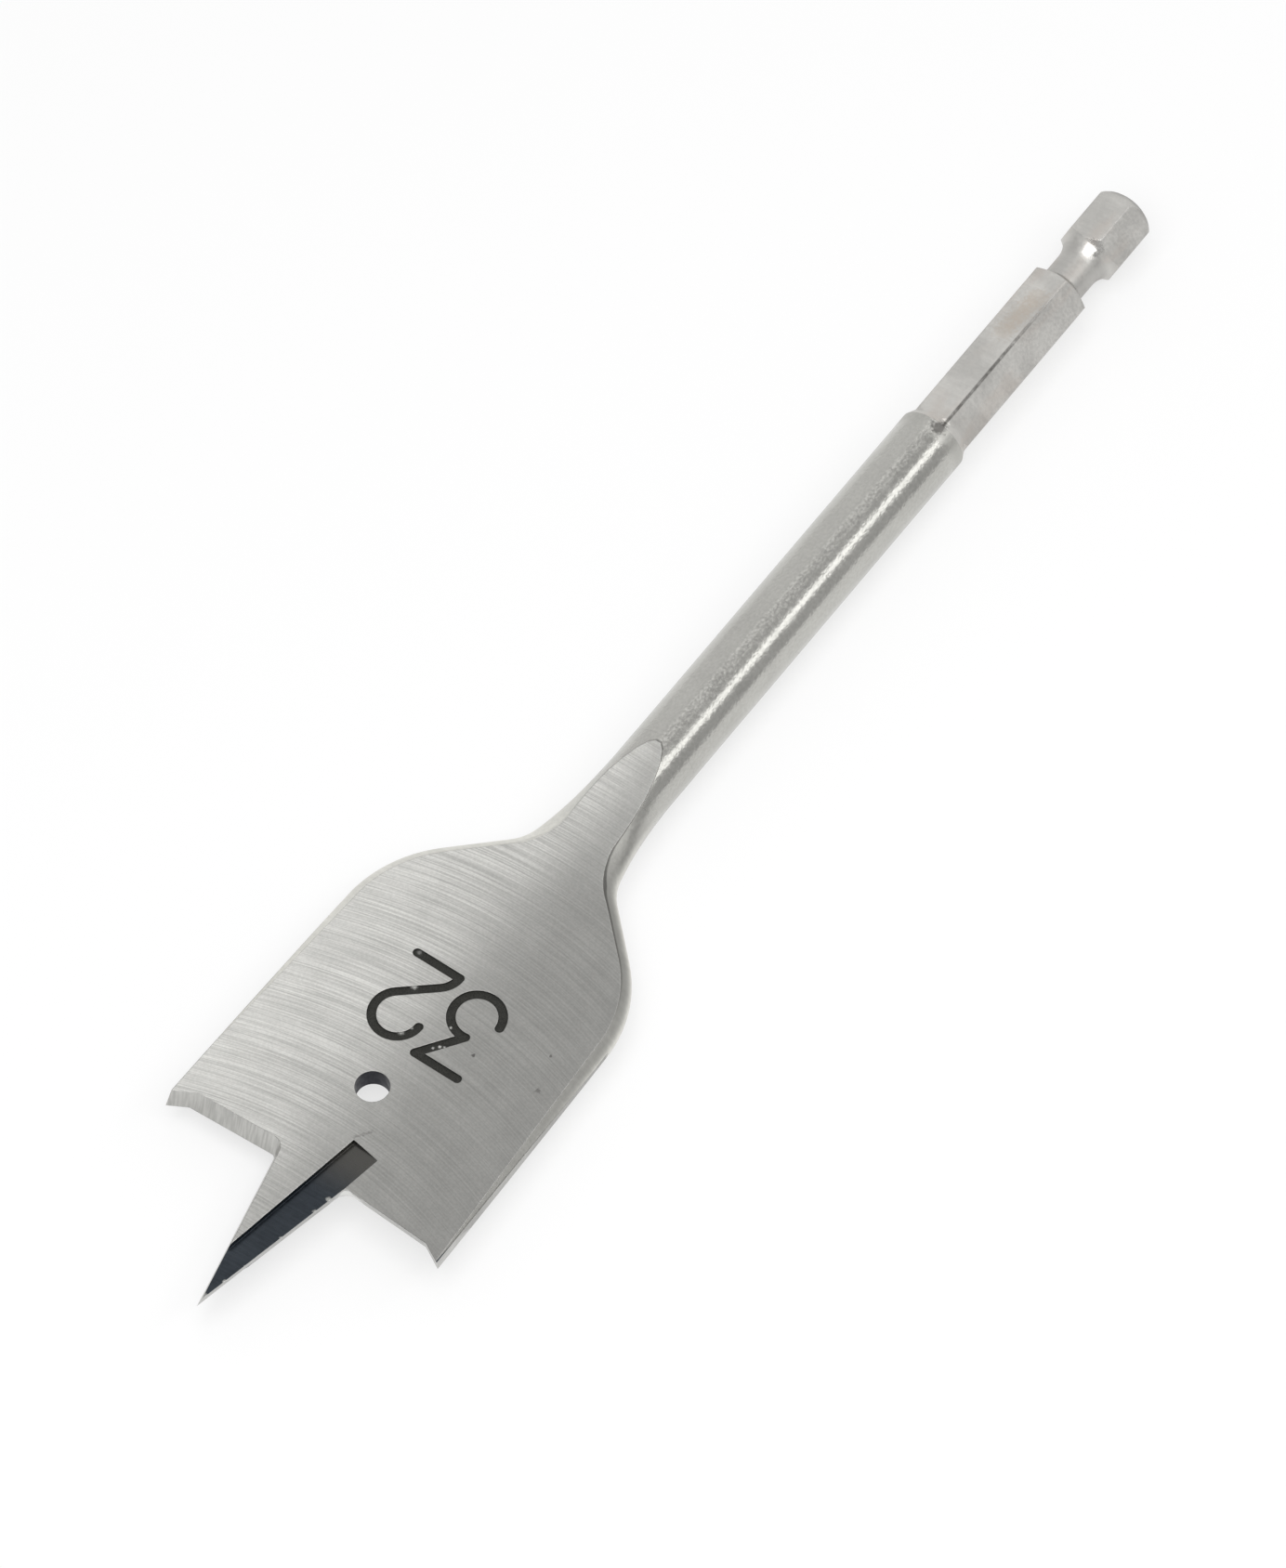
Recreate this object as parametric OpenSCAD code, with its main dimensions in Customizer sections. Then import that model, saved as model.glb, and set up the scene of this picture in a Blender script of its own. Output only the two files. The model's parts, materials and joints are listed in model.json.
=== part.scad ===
// Spade bit for boring wide holes in wood, forged and ground from one bar of steel.
// The axis lies along X and the shank leaves towards +X, with the origin at the middle of its end.
// Inside the modules x counts from the tip of the point towards the shank.
// The two cutting halves are one half turned by 180 degrees about the axis.

/* [Blade] */
// Diameter of the hole it bores, from spur to spur
cut_width = 32; // [22:1:44]
// Thickness between the two ground faces
blade_thickness = 2.4; // [1.8:0.1:3]
// Length of the straight sides behind the lips
blade_length = 26; // [16:1:40]
// How far the tip stands ahead of the lips
point_length = 17.4; // [12:0.2:22]
// Width of the point where it leaves the lips
point_width = 8.4; // [6:0.2:11]
// How far the outer spurs stand ahead of the lips
spur_height = 1.1; // [0.4:0.1:2]
// Diameter of the hole for a wire or a hook
hole_d = 3.4; // [2:0.1:5]
// How far the hole was drilled to one side of the axis
hole_offset = 0.35; // [-1:0.05:1]
// Depth of the stamped size number
stamp_depth = 0.15; // [0.05:0.05:0.3]

/* [Shank] */
// Length from the tip to the end of the shank
overall_length = 152.8; // [130:0.4:400]
// Diameter of the round shank
shank_d = 7.25; // [6.5:0.05:8]
// Width across the flats of the driving hexagon
hex_af = 6.2; // [5.6:0.05:6.35]
// Length of the driving hexagon
hex_length = 32.8; // [24:0.4:50]
// Angle of one hexagon corner from the upright of the blade
hex_turn = 20; // [0:1:59]
// Diameter at the bottom of the locking groove
groove_d = 4.4; // [4:0.1:5.2]

/* [Hidden] */

steel_colour = [0.66, 0.66, 0.64];
round_segments = 96;
// Flats that stand for a short arc and for a long one
arc_steps = 6;
curve_steps = 12;

// Working values of the cutting edges
half_thick = blade_thickness / 2;
half_cut = cut_width / 2;
lip_relief = tan(17);
point_relief = tan(15);
side_relief = 8.5;
side_taper = 1;
lip_rake = tan(2.6);
spur_width = cut_width / 16;
spur_slope = spur_height / spur_width;
point_half = point_width / 2;
point_slope = (point_half - point_relief * half_thick) / (point_length + lip_relief * half_thick);
tip_corner_radius = 0.15;
run_out_radius = 1.3;

// Hollow ground beside the cutting edge of the point
rake_width = 3.2;
rake_angle = 9.5;
rake_depth = 0.2 * blade_thickness;
rake_past_lip = 4.2;

// Forged outline, from the shank back to the blade, as arcs that run into each other
shank_r = shank_d / 2;
neck_arc = 45;
neck_bend = 14;
throat_arc = 5;
shoulder_bend = 46;
shoulder_arc = 0.4375 * cut_width;
blank_half = half_cut - 0.6;
blank_taper = 0.055;
ring_half = 20;
ring_count = 2 * ring_half;
// The forging is a hair wider than the round shank, so that its flats lie outside it
blend_r = 1.001 * shank_r / cos(180 / ring_count);
throat_rise = blend_r + neck_arc * (1 - cos(neck_bend))
    + throat_arc * (cos(neck_bend) - cos(shoulder_bend));
slope_rise = blank_half - shoulder_arc * (1 - cos(shoulder_bend)) - throat_rise;
slope_run = slope_rise / tan(shoulder_bend);
shoulder_run = neck_arc * sin(neck_bend) + throat_arc * (sin(shoulder_bend) - sin(neck_bend))
    + slope_run + shoulder_arc * sin(shoulder_bend);
shoulder_x = point_length + blade_length;
neck_end = shoulder_x + shoulder_run;
forge_end = neck_end + 3;
// How far the round shank reaches into the forging
shank_seat = 0.2;

// Forged edges: half height and rounding at the blade, blended into the round shank
edge_half_height = 1.2 * half_thick;
edge_round = 2.3;
swell_from = neck_end - 14;
swell_to = neck_end - 2;
wrap_from = neck_end - 14;
wrap_to = neck_end - 8.5;

// Grinding of the faces: flat over the blade, then up over the neck to the top of the shank
ramp_from = neck_end - 12.6;
ramp_to = neck_end + 2.2;
ramp_angle = atan((shank_r - half_thick) / (ramp_to - ramp_from));
ramp_blend = 30;

// Shank
hex_start = overall_length - hex_length;
hex_corner = hex_af / sqrt(3);
shoulder_chamfer = 1.3;
shoulder_drop = 0.45 * shoulder_chamfer;
hex_lead = 1;
hex_lead_r = 0.8 * hex_corner;
hex_clear_r = 1.02 * hex_corner;
end_radius = 2.2;
end_turn = 75;
groove_back = 6.4;
groove_width = 6;
groove_bottom = groove_d / 2;
groove_lean = tan(30);
groove_corner = 0.4;
groove_sweep = 3;
groove_turn = 58;

// Stamped number and hole, placed along the blade
digit_height = 0.35 * blade_length;
digit_width = 0.55 * digit_height;
digit_pitch = 0.7 * digit_height;
digit_stroke = 0.1 * digit_height;
bowl = digit_width / 2;
stamp_x = point_length + 0.78 * blade_length;
hole_x = point_length + 0.4 * blade_length;

// How far a cut runs past what it cuts
past = 1;

function ease(x, from, to) =
    let (s = max(0, min(1, (x - from) / (to - from))))
    s * s * (3 - 2 * s);

// Points [x, half width, angle of the edge] along the forged outline, front to back
function forged_outline() = concat(
    [[-past, blank_half + blank_taper * (shoulder_x + past), 0]],
    [for (i = [0 : curve_steps])
        let (bend = shoulder_bend * i / curve_steps)
        [shoulder_x + shoulder_arc * sin(bend), blank_half - shoulder_arc * (1 - cos(bend)), bend]],
    [for (i = [0 : arc_steps])
        let (bend = shoulder_bend + (neck_bend - shoulder_bend) * i / arc_steps)
        [neck_end - neck_arc * sin(neck_bend) - throat_arc * (sin(bend) - sin(neck_bend)),
            throat_rise - throat_arc * (cos(bend) - cos(shoulder_bend)), bend]],
    [for (i = [1 : curve_steps])
        let (bend = neck_bend * (1 - i / curve_steps))
        [neck_end - neck_arc * sin(bend), blend_r + neck_arc * (1 - cos(bend)), bend]],
    [[forge_end, blend_r, 0]]);

// One rib of the forging: round edges on both sides of the outline point
function rib(station) =
    let (
        swell = ease(station[0], swell_from, swell_to),
        half_height = edge_half_height + (blend_r - edge_half_height) * swell,
        wrap = ease(station[0], wrap_from, wrap_to),
        rounding = edge_round + (station[1] - edge_round) * wrap,
        lean = station[2] * (1 - wrap))
    [for (k = [0 : ring_count - 1])
        let (
            side = k < ring_half ? 1 : -1,
            step = k < ring_half ? k : ring_count - 1 - k,
            turn = 90 - (step + 0.5) * 180 / ring_half,
            inset = rounding * (1 - cos(turn)))
        [station[0] - inset * sin(lean), side * (station[1] - inset * cos(lean)), half_height * sin(turn)]];

module forging() {
    ribs = [for (station = forged_outline()) rib(station)];
    last = len(ribs) - 1;
    skin = [for (i = [0 : last - 1], k = [0 : ring_count - 1])
        let (
            next = (k + 1) % ring_count,
            a = i * ring_count + k,
            b = i * ring_count + next,
            c = (i + 1) * ring_count + next,
            d = (i + 1) * ring_count + k)
        each [[a, b, c], [a, c, d]]];
    front = [for (k = [ring_count - 1 : -1 : 0]) k];
    back = [for (k = [0 : ring_count - 1]) last * ring_count + k];
    polyhedron(points = [for (ring = ribs) each ring], faces = concat(skin, [front, back]));
}

// Side view of what the grinding leaves, as a polygon of x and height
function ground_edge() =
    let (run = ramp_blend * tan(ramp_angle / 2))
    concat(
        [[-2 * past, half_thick]],
        [for (i = [0 : arc_steps])
            let (bend = ramp_angle * i / arc_steps)
            [ramp_from - run + ramp_blend * sin(bend), half_thick + ramp_blend * (1 - cos(bend))]],
        [[forge_end + past, half_thick + (forge_end + past - ramp_from) * tan(ramp_angle)]]);

module ground_faces() {
    edge = ground_edge();
    mirrored = [for (i = [len(edge) - 1 : -1 : 0]) [edge[i][0], -edge[i][1]]];
    rotate([90, 0, 0])
        linear_extrude(height = 2 * cut_width, center = true)
            polygon(concat(edge, mirrored));
}

// Where two straight edges meet, the corner rounded by a wheel of the given radius
function wheel_corner(corner, from_angle, to_angle, radius) =
    let (
        middle = (from_angle + to_angle) / 2,
        reach = radius / sin((to_angle - from_angle) / 2),
        centre = corner + reach * [cos(middle), sin(middle)],
        sweep = 180 - (to_angle - from_angle))
    [for (i = [0 : arc_steps])
        let (aim = middle + 180 + sweep * (i / arc_steps - 0.5))
        centre + radius * [cos(aim), sin(aim)]];

// Outline of the air in front of one lip and beside the point, at a height above the cutting edges
function lip_outline(height) =
    let (
        shift = [lip_relief, -point_relief] * height,
        blend = height / blade_thickness,
        radius = max(tip_corner_radius / 2, tip_corner_radius + (run_out_radius - tip_corner_radius) * blend),
        corner = [point_length, point_half] + shift,
        flank_angle = 180 + atan(point_slope),
        lip_angle = 90 + atan(lip_rake),
        lip_width = half_cut - spur_width - point_half,
        lip_end = corner + lip_width * [-lip_rake, 1],
        outside = cut_width,
        ahead = 2 * point_length)
    concat(
        [corner - ahead * [1, point_slope]],
        wheel_corner(corner, lip_angle, flank_angle, radius),
        [lip_end, lip_end + (outside - lip_end[1]) * [-spur_slope, 1], [corner[0] - ahead, outside]]);

// Cuts one lip with its spur and one flank of the point, sloping back from edges on the lower face
module lip_cut() {
    low = lip_outline(-past);
    high = lip_outline(blade_thickness + past);
    count = len(low);
    points = concat(
        [for (p = low) [p[0], p[1], -half_thick - past]],
        [for (p = high) [p[0], p[1], half_thick + past]]);
    walls = [for (k = [0 : count - 1])
        let (next = (k + 1) % count)
        each [[k, count + next, next], [k, count + k, count + next]]];
    polyhedron(points = points, faces = concat(walls,
        [[for (k = [0 : count - 1]) k], [for (k = [count - 1 : -1 : 0]) count + k]]));
}

// Cuts one side to size, tapering back and sloping in from an edge on the lower face
module side_cut() {
    reach = 2 * overall_length;
    translate([point_length - spur_height, half_cut, -half_thick])
        rotate([side_relief, 0, 0])
            rotate([0, 0, -side_taper])
                translate([-reach / 2, 0, -cut_width])
                    cube([reach, cut_width, 2 * cut_width]);
}

// Cuts the sloping hollow behind the cutting edge of the point, on the upper face
module rake_cut() {
    translate([point_length, -point_half, half_thick])
        rotate([0, 0, -rake_angle])
            rotate([-asin(rake_depth / rake_width), 0, 0])
                translate([-2 * point_length, 0, 0])
                    cube([2 * point_length + rake_past_lip, rake_width, cut_width]);
}

// Strokes of the number: a bar between two points, or a bow about a centre
module bar(from, to) {
    span = to - from;
    translate(from)
        rotate(atan2(span[1], span[0]))
            translate([0, -digit_stroke / 2])
                square([norm(span), digit_stroke]);
    translate(from)
        circle(d = digit_stroke, $fn = round_segments);
    translate(to)
        circle(d = digit_stroke, $fn = round_segments);
}

module bow(centre, radius, from, to) {
    wedge = [for (i = [0 : arc_steps])
        let (aim = from + (to - from) * i / arc_steps)
        2 * radius * [cos(aim), sin(aim)]];
    translate(centre) {
        intersection() {
            difference() {
                circle(r = radius + digit_stroke / 2, $fn = round_segments);
                circle(r = radius - digit_stroke / 2, $fn = round_segments);
            }
            polygon(concat([[0, 0]], wedge));
        }
        for (aim = [from, to])
            rotate(aim)
                translate([radius, 0])
                    circle(d = digit_stroke, $fn = round_segments);
    }
}

// Strokes of each figure: two points make a bar; a centre, radius and two angles make a bow
function strokes(figure) =
    let (
        w = digit_width,
        h = digit_height,
        low = [bowl, bowl],
        high = [bowl, h - bowl],
        foot = [bowl, 0],
        neck = -asin(2 * bowl / (h - bowl)),
        reach = bowl * [cos(neck), sin(neck)])
    [
        [[high, bowl, 0, 180], [low, bowl, 180, 360], [[0, bowl], [0, h - bowl]], [[w, bowl], [w, h - bowl]]],
        [[[bowl, 0], [bowl, h]], [[bowl, h], [0, h - bowl]]],
        [[high, bowl, neck, 180], [high + reach, foot - reach],
            [foot, bowl, 180 + neck, 180], [[0, 0], [w, 0]]],
        [[[0, h], [w, h]], [[w, h], low + bowl * [cos(100), sin(100)]], [low, bowl, -175, 100]],
        [[[0.75 * w, 0], [0.75 * w, h]], [[0.75 * w, h], [0, h / 3]], [[0, h / 3], [w, h / 3]]],
        [[[w, h], [0, h]], [[0, h], low + bowl * [cos(120), sin(120)]], [low, bowl, -170, 120]],
        [[low, bowl, -100, 180], [low, bowl, 180, 260], [[0, bowl], [1.5 * bowl, h]]],
        [[[0, h], [w, h]], [[w, h], [bowl / 2, 0]]],
        [[low, bowl, 0, 180], [low, bowl, 180, 360], [high, bowl, -45, 225]],
        [[high, bowl, -100, 180], [high, bowl, 180, 260], [[w, h - bowl], [bowl / 2, 0]]],
    ][figure];

// The size in whole millimetres, read with the point upwards
module stamped_number() {
    size = round(cut_width);
    figures = [floor(size / 10), size % 10];
    translate([stamp_x + digit_height / 2, -(digit_pitch + digit_width) / 2, half_thick - stamp_depth])
        rotate([0, 0, 90])
            linear_extrude(height = stamp_depth + past)
                for (i = [0 : len(figures) - 1])
                    translate([i * digit_pitch, 0])
                        for (stroke = strokes(figures[i]))
                            if (len(stroke) == 2)
                                bar(stroke[0], stroke[1]);
                            else
                                bow(stroke[0], stroke[1], stroke[2], stroke[3]);
}

module blade() {
    difference() {
        intersection() {
            forging();
            ground_faces();
        }
        for (half = [0, 180])
            rotate([half, 0, 0]) {
                lip_cut();
                side_cut();
                rake_cut();
            }
        translate([hole_x, hole_offset, 0])
            cylinder(h = cut_width, d = hole_d, center = true, $fn = round_segments);
        stamped_number();
    }
}

// Turns a profile of [radius, x] about the axis
module turned(profile) {
    rotate([0, 90, 0])
        rotate_extrude($fn = round_segments)
            polygon(profile);
}

module round_shank() {
    turned([
        [0, forge_end - shank_seat],
        [shank_r, forge_end - shank_seat],
        [shank_r, hex_start - shoulder_chamfer / 2],
        [shank_r - shoulder_drop, hex_start + shoulder_chamfer / 2],
        [0, hex_start + shoulder_chamfer / 2]]);
}

// The hexagon, its corners led in at the front and rounded at the end
module hex_shank() {
    round_end = [for (i = [0 : arc_steps])
        let (aim = end_turn * i / arc_steps)
        [hex_clear_r - end_radius * (1 - cos(aim)), overall_length - end_radius * (sin(end_turn) - sin(aim))]];
    intersection() {
        translate([hex_start - hex_lead, 0, 0])
            rotate([hex_turn, 0, 0])
                rotate([0, 90, 0])
                    cylinder(h = hex_length + 2 * hex_lead, r = hex_corner, $fn = 6);
        turned(concat(
            [[0, hex_start - hex_lead / 2], [hex_lead_r, hex_start - hex_lead / 2],
                [hex_clear_r, hex_start + hex_lead / 2]],
            round_end,
            [[0, overall_length]]));
    }
}

// Ring cut for the ball of a quick chuck: a leaning wall in front and a sweep behind
module locking_groove() {
    back = overall_length - groove_back;
    front = back - groove_width;
    outer = hex_corner + past;
    wall_foot = groove_bottom + groove_corner;
    foot_x = front + groove_lean * (hex_corner - wall_foot);
    floor_end = back - groove_sweep * sin(groove_turn);
    sweep = [for (i = [0 : arc_steps])
        let (aim = groove_turn * i / arc_steps)
        [groove_bottom + groove_sweep * (1 - cos(aim)), floor_end + groove_sweep * sin(aim)]];
    turned(concat(
        [[outer, front - groove_lean * past], [wall_foot, foot_x], [groove_bottom, foot_x + groove_corner]],
        sweep,
        [[outer, back + past]]));
}

module spade_bit() {
    color(steel_colour)
        translate([-overall_length, 0, 0]) {
            blade();
            round_shank();
            difference() {
                hex_shank();
                locking_groove();
            }
        }
}

spade_bit();
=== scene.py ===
"""Dresses the spade bit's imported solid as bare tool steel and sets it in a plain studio."""

import json
import logging
import math
from dataclasses import dataclass
from enum import Enum
from typing import Optional, Union

import bpy
from mathutils import Matrix, Vector


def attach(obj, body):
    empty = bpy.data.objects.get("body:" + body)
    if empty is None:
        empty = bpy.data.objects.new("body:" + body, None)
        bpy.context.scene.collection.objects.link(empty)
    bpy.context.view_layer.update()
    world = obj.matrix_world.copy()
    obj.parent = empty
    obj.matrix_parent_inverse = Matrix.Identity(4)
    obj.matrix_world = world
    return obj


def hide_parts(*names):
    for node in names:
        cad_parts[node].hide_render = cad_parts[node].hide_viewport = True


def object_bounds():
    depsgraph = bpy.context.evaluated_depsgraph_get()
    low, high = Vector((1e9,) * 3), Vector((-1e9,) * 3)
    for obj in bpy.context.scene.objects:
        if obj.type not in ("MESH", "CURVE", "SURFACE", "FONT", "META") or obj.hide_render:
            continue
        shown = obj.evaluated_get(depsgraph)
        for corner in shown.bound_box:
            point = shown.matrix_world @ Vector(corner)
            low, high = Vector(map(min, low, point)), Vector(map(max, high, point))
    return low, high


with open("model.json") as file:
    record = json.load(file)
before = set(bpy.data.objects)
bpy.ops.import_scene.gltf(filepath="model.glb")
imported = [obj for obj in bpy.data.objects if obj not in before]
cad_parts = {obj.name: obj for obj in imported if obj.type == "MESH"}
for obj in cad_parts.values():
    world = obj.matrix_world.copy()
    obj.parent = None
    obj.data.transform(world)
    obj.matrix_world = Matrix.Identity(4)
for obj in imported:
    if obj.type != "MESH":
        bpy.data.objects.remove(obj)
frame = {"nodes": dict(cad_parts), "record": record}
cad_low, cad_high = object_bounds()

log = logging.getLogger("spade_bit")

MM = 0.001
WHITE = (1.0, 1.0, 1.0, 1.0)
Socket = bpy.types.NodeSocket
Sockets = bpy.types.bpy_prop_collection
Feed = Union[Socket, float, tuple]
Colour = tuple[float, float, float, float]
MOUNTS = {mount["name"]: mount for mount in frame["record"]["mounts"]}
HALF_BLADE = MOUNTS["wire_hole"]["dims"]["length_mm"] / 2


# Node writing


class NodeSheet:
    """Writes one node tree. A feed is a socket to link, or a plain value to set."""

    def __init__(self, tree: bpy.types.NodeTree) -> None:
        """Keeps the tree that the nodes go into."""
        self.tree = tree

    def add(self, kind: str, feeds: Optional[dict] = None, **settings: object) -> bpy.types.Node:
        """Adds a node.

        Args:
            kind: Blender's name for the node's type.
            feeds: What goes into its inputs, by input name or number.
            settings: The node's own properties.

        Returns:
            The new node.
        """
        node = self.tree.nodes.new(kind)
        for name, value in settings.items():
            setattr(node, name, value)
        for key, feed in (feeds or {}).items():
            self.feed(node.inputs[key], feed)
        return node

    def feed(self, socket: Socket, feed: Feed) -> None:
        """Links a socket into another, or sets its value.

        Args:
            socket: The input to fill.
            feed: The socket or the value that goes in.
        """
        if isinstance(feed, Socket):
            self.tree.links.new(feed, socket)
        else:
            socket.default_value = feed

    def math(self, operation: str, *feeds: Feed) -> Socket:
        """Adds a Math node.

        Args:
            operation: What it does, in Blender's words.
            feeds: Its one, two or three values.

        Returns:
            The result's socket.
        """
        return self.add("ShaderNodeMath", dict(enumerate(feeds)), operation=operation).outputs[0]

    def span(self, value: Feed, low: float, high: float, to_low: Feed = 0.0, to_high: Feed = 1.0) -> Socket:
        """Eases a value from one span to another and holds it at the ends.

        Args:
            value: The value to ease.
            low: Where the first span begins.
            high: Where the first span ends.
            to_low: What low becomes.
            to_high: What high becomes.

        Returns:
            The eased value's socket.
        """
        feeds = {"Value": value, "From Min": low, "From Max": high, "To Min": to_low, "To Max": to_high}
        return self.add("ShaderNodeMapRange", feeds, interpolation_type="SMOOTHSTEP").outputs[0]

    def mix(self, factor: Feed, first: Feed, second: Feed, blend: str = "MIX") -> Socket:
        """Mixes two colours.

        Args:
            factor: How much of the second colour shows.
            first: The colour at factor 0.
            second: The colour at factor 1.
            blend: How the two are mixed, in Blender's words.

        Returns:
            The mixed colour's socket.
        """
        feeds = {0: factor, 6: first, 7: second}
        return self.add("ShaderNodeMix", feeds, data_type="RGBA", blend_type=blend).outputs[2]

    def vector(self, x: Feed, y: Feed, z: Feed) -> Socket:
        """Joins three values into one vector."""
        return self.add("ShaderNodeCombineXYZ", {0: x, 1: y, 2: z}).outputs[0]

    def parts(self, vector: Feed) -> tuple[Socket, ...]:
        """Splits a vector into the sockets of its three parts."""
        return tuple(self.add("ShaderNodeSeparateXYZ", {0: vector}).outputs)

    def noise(self, place: Feed, scale: Feed, detail: float) -> Socket:
        """Adds soft noise.

        Args:
            place: Where on the piece the noise is read.
            scale: How many features fit in a unit of place.
            detail: How many finer layers are on it.

        Returns:
            The noise's socket, from 0 to 1.
        """
        feeds = {"Vector": place, "Scale": scale, "Detail": detail}
        return self.add("ShaderNodeTexNoise", feeds).outputs[0]

    def tone(self, colour: Feed, gain: Feed) -> Socket:
        """Lightens or darkens a colour by a gain on its three parts."""
        grey = self.add("ShaderNodeCombineColor", {0: gain, 1: gain, 2: gain}).outputs[0]
        return self.mix(1.0, colour, grey, "MULTIPLY")

    def measure(self, operation: str, first: Feed, second: Feed) -> Socket:
        """Compares two vectors by one value, which the operation names in Blender's words."""
        node = self.add("ShaderNodeVectorMath", {0: first, 1: second}, operation=operation)
        return node.outputs["Value"]

    def place_mm(self) -> Socket:
        """Reads the place on the piece.

        Returns:
            The place in millimetres, from the end of the shank.
        """
        spot = self.add("ShaderNodeTexCoord").outputs["Object"]
        feeds = {0: spot, "Scale": 1 / MM}
        return self.add("ShaderNodeVectorMath", feeds, operation="SCALE").outputs[0]

    def bump(self, height: Feed, depth: float, normal: Optional[Feed] = None) -> Socket:
        """Turns a height into a bumped normal.

        Args:
            height: The height.
            depth: How many metres a height of 1 stands for.
            normal: The normal to start from, where it isn't the surface's own.

        Returns:
            The normal's socket.
        """
        feeds = {"Strength": 1.0, "Distance": depth, "Height": height}
        if normal is not None:
            feeds["Normal"] = normal
        return self.add("ShaderNodeBump", feeds).outputs[0]

    def surface(self, feeds: dict) -> None:
        """Ends a material in its shader, whose inputs are fed by name."""
        shader = self.add("ShaderNodeBsdfPrincipled", feeds)
        self.add("ShaderNodeOutputMaterial", {"Surface": shader.outputs[0]})


def new_material(name: str, colour: Colour) -> tuple[bpy.types.Material, NodeSheet]:
    """Makes an empty material.

    Args:
        name: Its name.
        colour: Its colour in the plain viewport.

    Returns:
        The material and its sheet.
    """
    material = bpy.data.materials.new(name)
    material.use_nodes = True
    material.diffuse_color = colour
    material.node_tree.nodes.clear()
    return material, NodeSheet(material.node_tree)


# Shared effects


@dataclass(frozen=True)
class Patches:
    """Soft noise that is stretched until it falls into patches."""

    scale: Feed
    detail: float
    low: float = 0.3
    high: float = 0.7

    def put(self, sheet: NodeSheet, place: Feed, to_low: float = 0.0, to_high: float = 1.0) -> Socket:
        """Lays the patches over the piece.

        Args:
            sheet: The sheet to write on.
            place: Where on the piece the noise is read.
            to_low: The value between the patches.
            to_high: The value inside them.

        Returns:
            The value's socket.
        """
        noise = sheet.noise(place, self.scale, self.detail)
        return sheet.span(noise, self.low, self.high, to_low, to_high)


@dataclass(frozen=True)
class GroupPlan:
    """The name and sockets of one shared node group."""

    name: str
    inputs: tuple
    outputs: tuple

    def start(self) -> tuple[NodeSheet, Sockets, Sockets]:
        """Makes the empty group.

        Returns:
            The sheet to write on, the sockets that come in and the sockets that go out.
        """
        tree = bpy.data.node_groups.new(self.name, "ShaderNodeTree")
        for label, kind in self.inputs:
            tree.interface.new_socket(label, in_out="INPUT", socket_type=kind)
        for label, kind in self.outputs:
            tree.interface.new_socket(label, in_out="OUTPUT", socket_type=kind)
        sheet = NodeSheet(tree)
        return sheet, sheet.add("NodeGroupInput").outputs, sheet.add("NodeGroupOutput").inputs


class Effect(Enum):
    """The shared effects, each a node group built once."""

    TOOL_LINES = GroupPlan(
        "tool_lines",
        (("Place", "NodeSocketVector"), ("Width", "NodeSocketFloat"), ("Length", "NodeSocketFloat")),
        (("Lines", "NodeSocketFloat"),),
    )
    EDGE_WEAR = GroupPlan(
        "edge_wear_and_shade",
        (("Place", "NodeSocketVector"), ("Radius", "NodeSocketFloat")),
        (("Mask", "NodeSocketFloat"), ("Normal", "NodeSocketVector")),
    )
    MOTTLE = GroupPlan(
        "mottle",
        (("Place", "NodeSocketVector"), ("Size", "NodeSocketFloat")),
        (("Cloud", "NodeSocketFloat"), ("Grit", "NodeSocketFloat")),
    )
    SPECKS = GroupPlan(
        "specks",
        (("Place", "NodeSocketVector"), ("Spacing", "NodeSocketFloat"), ("Share", "NodeSocketFloat")),
        (("Mask", "NodeSocketFloat"),),
    )

    def tree(self) -> bpy.types.NodeTree:
        """Finds this effect's node group, or builds it at the first call.

        Returns:
            The group.
        """
        made = bpy.data.node_groups.get(self.value.name)
        if made is None:
            sheet, given, wanted = self.value.start()
            getattr(EffectShop, self.value.name)(sheet, given, wanted)
            made = sheet.tree
        return made

    def put(self, sheet: NodeSheet, **feeds: Feed) -> Sockets:
        """Places this effect in a material.

        Args:
            sheet: The material's sheet.
            feeds: What goes into the group's inputs, by name.

        Returns:
            The group's outputs, by name.
        """
        return sheet.add("ShaderNodeGroup", feeds, node_tree=self.tree()).outputs


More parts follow.
